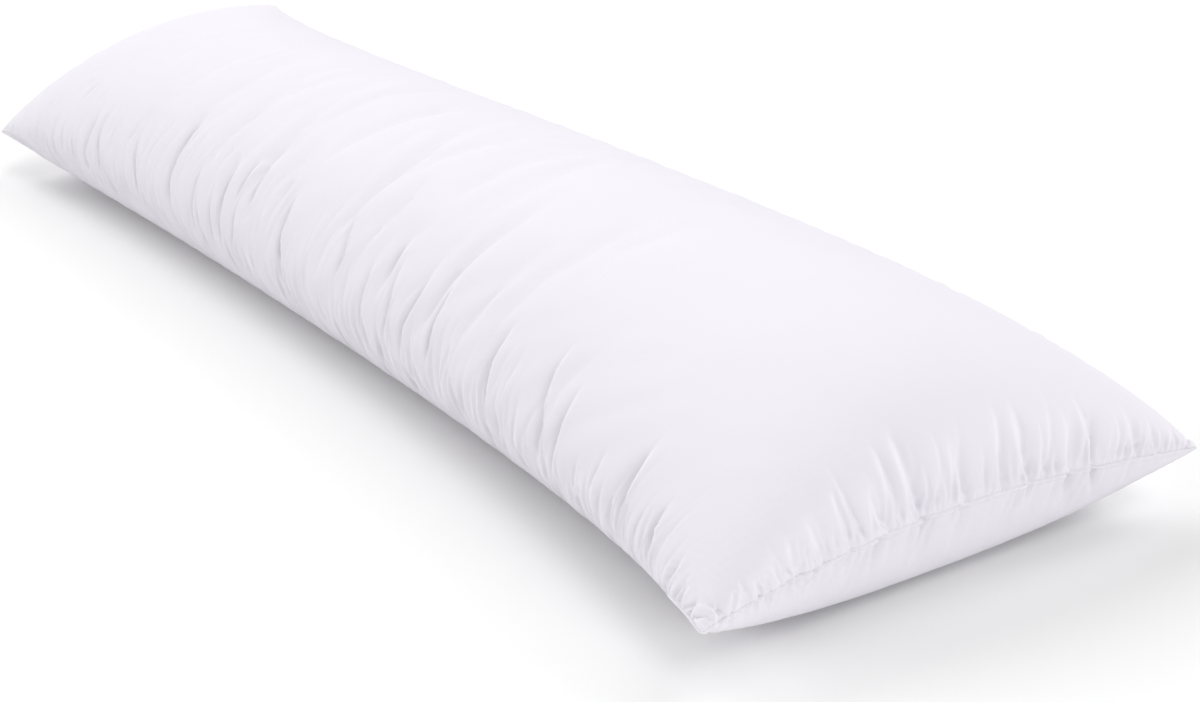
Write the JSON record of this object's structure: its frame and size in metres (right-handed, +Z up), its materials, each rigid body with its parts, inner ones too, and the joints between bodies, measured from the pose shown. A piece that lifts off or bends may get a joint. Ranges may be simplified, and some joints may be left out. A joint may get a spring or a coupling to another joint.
{
  "type": "body pillow",
  "caption": "Long soft pillow of plain white cotton, filled and sewn shut round its edge, lying on its back.",
  "frame": {"origin": "on the surface that carries the pillow, under the middle of its outline", "axes": "+X along the pillow's length towards the end whose seam is gathered, +Y across it to its right side, +Z up"},
  "size_m": [1.369, 0.4248, 0.1725],
  "materials": {
    "cotton": "matte"
  },
  "bodies": {
    "root": {"pillow": "cotton"}
  },
  "joints": []
}
